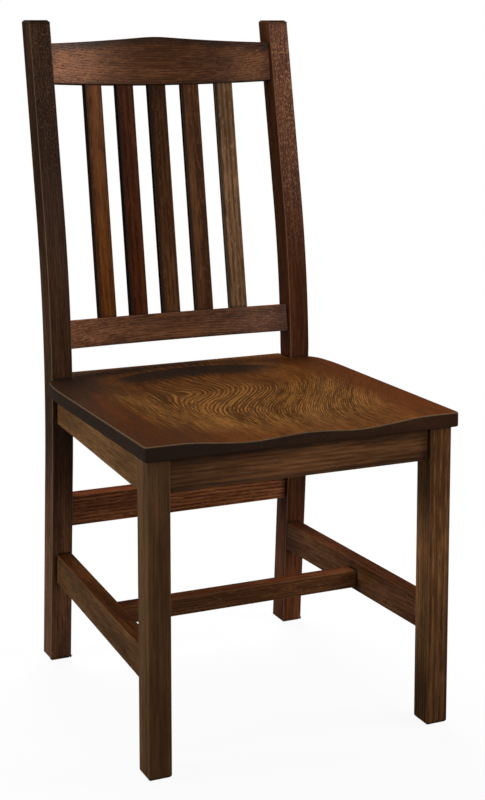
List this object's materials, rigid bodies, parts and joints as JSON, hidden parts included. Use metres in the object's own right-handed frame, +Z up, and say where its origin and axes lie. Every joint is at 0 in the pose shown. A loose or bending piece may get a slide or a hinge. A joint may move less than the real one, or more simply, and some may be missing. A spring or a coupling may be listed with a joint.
{
  "type": "mission dining chair",
  "caption": "Straight-legged wooden side chair with bent rear posts, a tall back of upright slats between two bowed rails, a saddle seat and a stretcher frame.",
  "frame": {"origin": "on the floor, in the middle of the chair's overall width and overall depth", "axes": "+Z up; the sitter faces -Y, so the front edge of the seat is at -Y and the back leans towards +Y; +X is to the right as seen from the front"},
  "size_m": [0.477, 0.585, 1.015],
  "materials": {
    "frame_wood": "dark stained oak, satin lacquer",
    "back_wood": "dark stained oak, satin lacquer",
    "seat_wood": "brown stained oak, satin lacquer",
    "block_wood": "bare hardwood",
    "screw_steel": "zinc plated"
  },
  "bodies": {
    "root": {"rear_post_left": "frame_wood", "rear_post_right": "frame_wood", "front_leg_left": "frame_wood", "front_leg_right": "frame_wood", "crest_rail": "back_wood", "lower_back_rail": "back_wood", "back_slat_1": "back_wood", "back_slat_2": "back_wood", "back_slat_3": "back_wood", "back_slat_4": "back_wood", "back_slat_5": "back_wood", "seat": "seat_wood", "front_apron": "frame_wood", "rear_apron": "frame_wood", "side_apron_left": "frame_wood", "side_apron_right": "frame_wood", "side_stretcher_left": "frame_wood", "side_stretcher_right": "frame_wood", "cross_stretcher": "frame_wood", "rear_stretcher": "frame_wood", "corner_block_front_left": "block_wood", "corner_block_front_right": "block_wood", "corner_block_rear_left": "block_wood", "corner_block_rear_right": "block_wood", "corner_block_screws": "screw_steel", "seat_screws": "screw_steel"}
  },
  "joints": []
}
